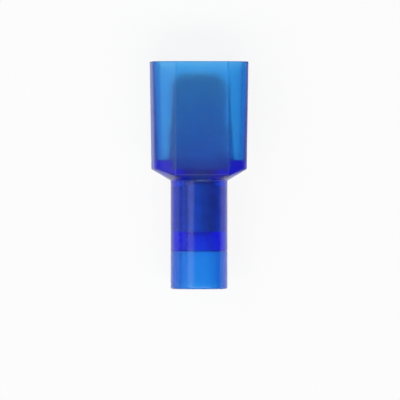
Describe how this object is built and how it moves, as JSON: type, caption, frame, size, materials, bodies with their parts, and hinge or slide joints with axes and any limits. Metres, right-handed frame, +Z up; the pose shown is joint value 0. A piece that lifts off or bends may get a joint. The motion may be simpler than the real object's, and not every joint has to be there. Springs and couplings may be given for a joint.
{
  "type": "male spade terminal",
  "caption": "Insulated male spade terminal: a flat tinned tab shrouded in a see-through blue nylon housing, with a round sleeve over its crimp barrel.",
  "frame": {"origin": "centre of the part's footprint, at the bottom of the panel that it lies on", "axes": "+Y along the axis from the wire end to the mouth, +X across the width, +Z up through the flat panels"},
  "size_m": [0.011, 0.026, 0.0074],
  "materials": {
    "blue_nylon": "see-through moulded nylon, satin",
    "tinned_brass": "tin plated, stamped and rolled"
  },
  "bodies": {
    "root": {"insulator_housing": "blue_nylon", "tab_terminal": "tinned_brass"}
  },
  "joints": []
}
